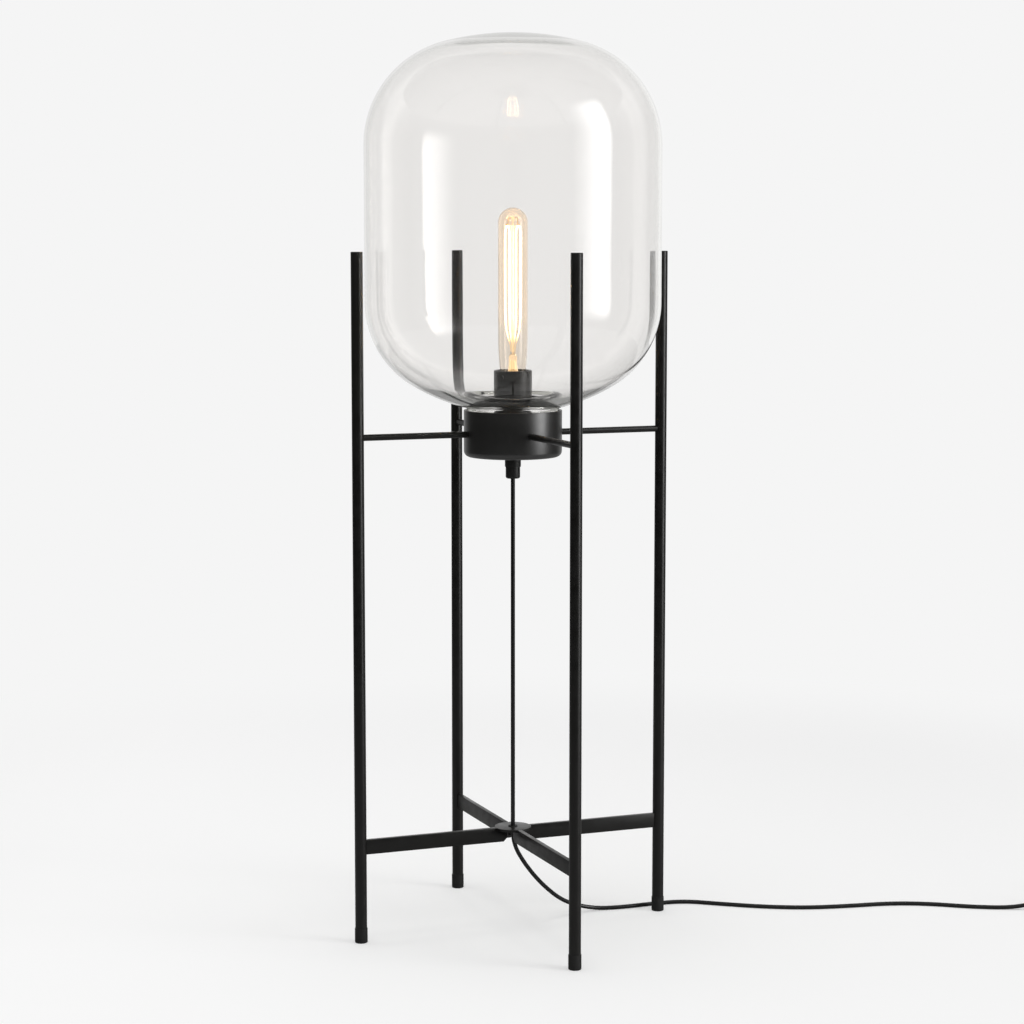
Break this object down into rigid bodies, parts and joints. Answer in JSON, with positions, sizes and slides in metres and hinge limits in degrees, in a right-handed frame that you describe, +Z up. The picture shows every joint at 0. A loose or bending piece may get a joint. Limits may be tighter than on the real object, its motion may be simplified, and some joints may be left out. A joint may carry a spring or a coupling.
{
  "type": "glass globe floor lamp",
  "caption": "Floor lamp with a clear glass globe standing in a metal cup between slim legs, with a tubular filament bulb, cord, foot switch and plug.",
  "frame": {"origin": "on the floor under the middle of the lamp, the cord and its pieces left out", "axes": "+Z up, the four legs on +X, +Y, -X and -Y, the cord leaving between +X and +Y"},
  "size_m": [0.8892, 0.3706, 0.9153],
  "materials": {
    "black_steel": "satin black powder coat",
    "black_cup": "satin black lacquer over fine turning lines",
    "foot_rubber": "matt moulded",
    "seat_silicone": "matt",
    "clear_glass": "clear blown",
    "zinc_steel": "zinc plated",
    "holder_phenolic": "satin black moulding",
    "porcelain": "glazed ceramic",
    "brass": "plain",
    "wire_sheath": "brown insulation",
    "bulb_glass": "faintly amber clear glass",
    "cap_brass": "plated brass sheet",
    "black_glass": "black moulded glass",
    "stem_glass": "clear",
    "filament_carbon": "glowing",
    "nickel": "nickel wire",
    "cord_black": "glossy black sheath",
    "switch_plastic": "fine moulded grain",
    "spring_steel": "bright"
  },
  "bodies": {
    "frame": {"leg_right": "black_steel", "foot_right": "foot_rubber", "rod_right": "black_steel", "bar_right": "black_steel", "leg_back": "black_steel", "foot_back": "foot_rubber", "rod_back": "black_steel", "bar_back": "black_steel", "leg_left": "black_steel", "foot_left": "foot_rubber", "rod_left": "black_steel", "bar_left": "black_steel", "leg_front": "black_steel", "foot_front": "foot_rubber", "rod_front": "black_steel", "bar_front": "black_steel", "cross_plate": "black_steel", "cord_grommet": "foot_rubber", "cup": "black_cup", "globe_seat": "seat_silicone", "threaded_tube": "zinc_steel", "tube_washer": "zinc_steel", "tube_nut": "zinc_steel", "cord_gland": "switch_plastic", "gland_screw": "zinc_steel", "lampholder_cap": "holder_phenolic", "lampholder_skirt": "holder_phenolic", "contact_block": "porcelain", "screw_shell": "brass", "centre_contact": "brass", "terminal_screws": "brass", "holder_wires": "wire_sheath", "cord": "cord_black", "cord_link": "cord_black", "cord_coil": "cord_black", "cord_end": "cord_black", "coil_tie": "switch_plastic", "switch_base": "switch_plastic", "switch_cover": "switch_plastic", "switch_spring": "spring_steel", "switch_contacts": "brass", "switch_wires": "wire_sheath", "cord_saddles": "switch_plastic", "switch_screws": "zinc_steel", "switch_pads": "foot_rubber", "plug_body": "cord_black", "plug_sleeve": "cord_black", "plug_pins": "nickel"},
    "globe": {"glass_globe": "clear_glass"},
    "bulb": {"bulb_glass": "bulb_glass", "bulb_cap": "cap_brass", "bulb_insulator": "black_glass", "bulb_contact": "brass", "bulb_stem": "stem_glass", "filament": "filament_carbon", "filament_hooks": "nickel", "lead_wires": "nickel"},
    "button": {"switch_button": "switch_plastic", "contact_bridge": "brass"}
  },
  "joints": [
    {"name": "globe_lift", "type": "slide", "parent": "frame", "child": "globe", "axis": [0, 0, 1], "range_m": [0, 0.27]},
    {"name": "bulb_out", "type": "slide", "parent": "frame", "child": "bulb", "axis": [0, 0, 1], "range_m": [0, 0.04]},
    {"name": "switch_press", "type": "slide", "parent": "frame", "child": "button", "axis": [0, 0, -1], "range_m": [0, 0.003], "stiffness_N_per_m": 800, "springref_m": -0.002, "deforming": ["switch_spring"]}
  ]
}
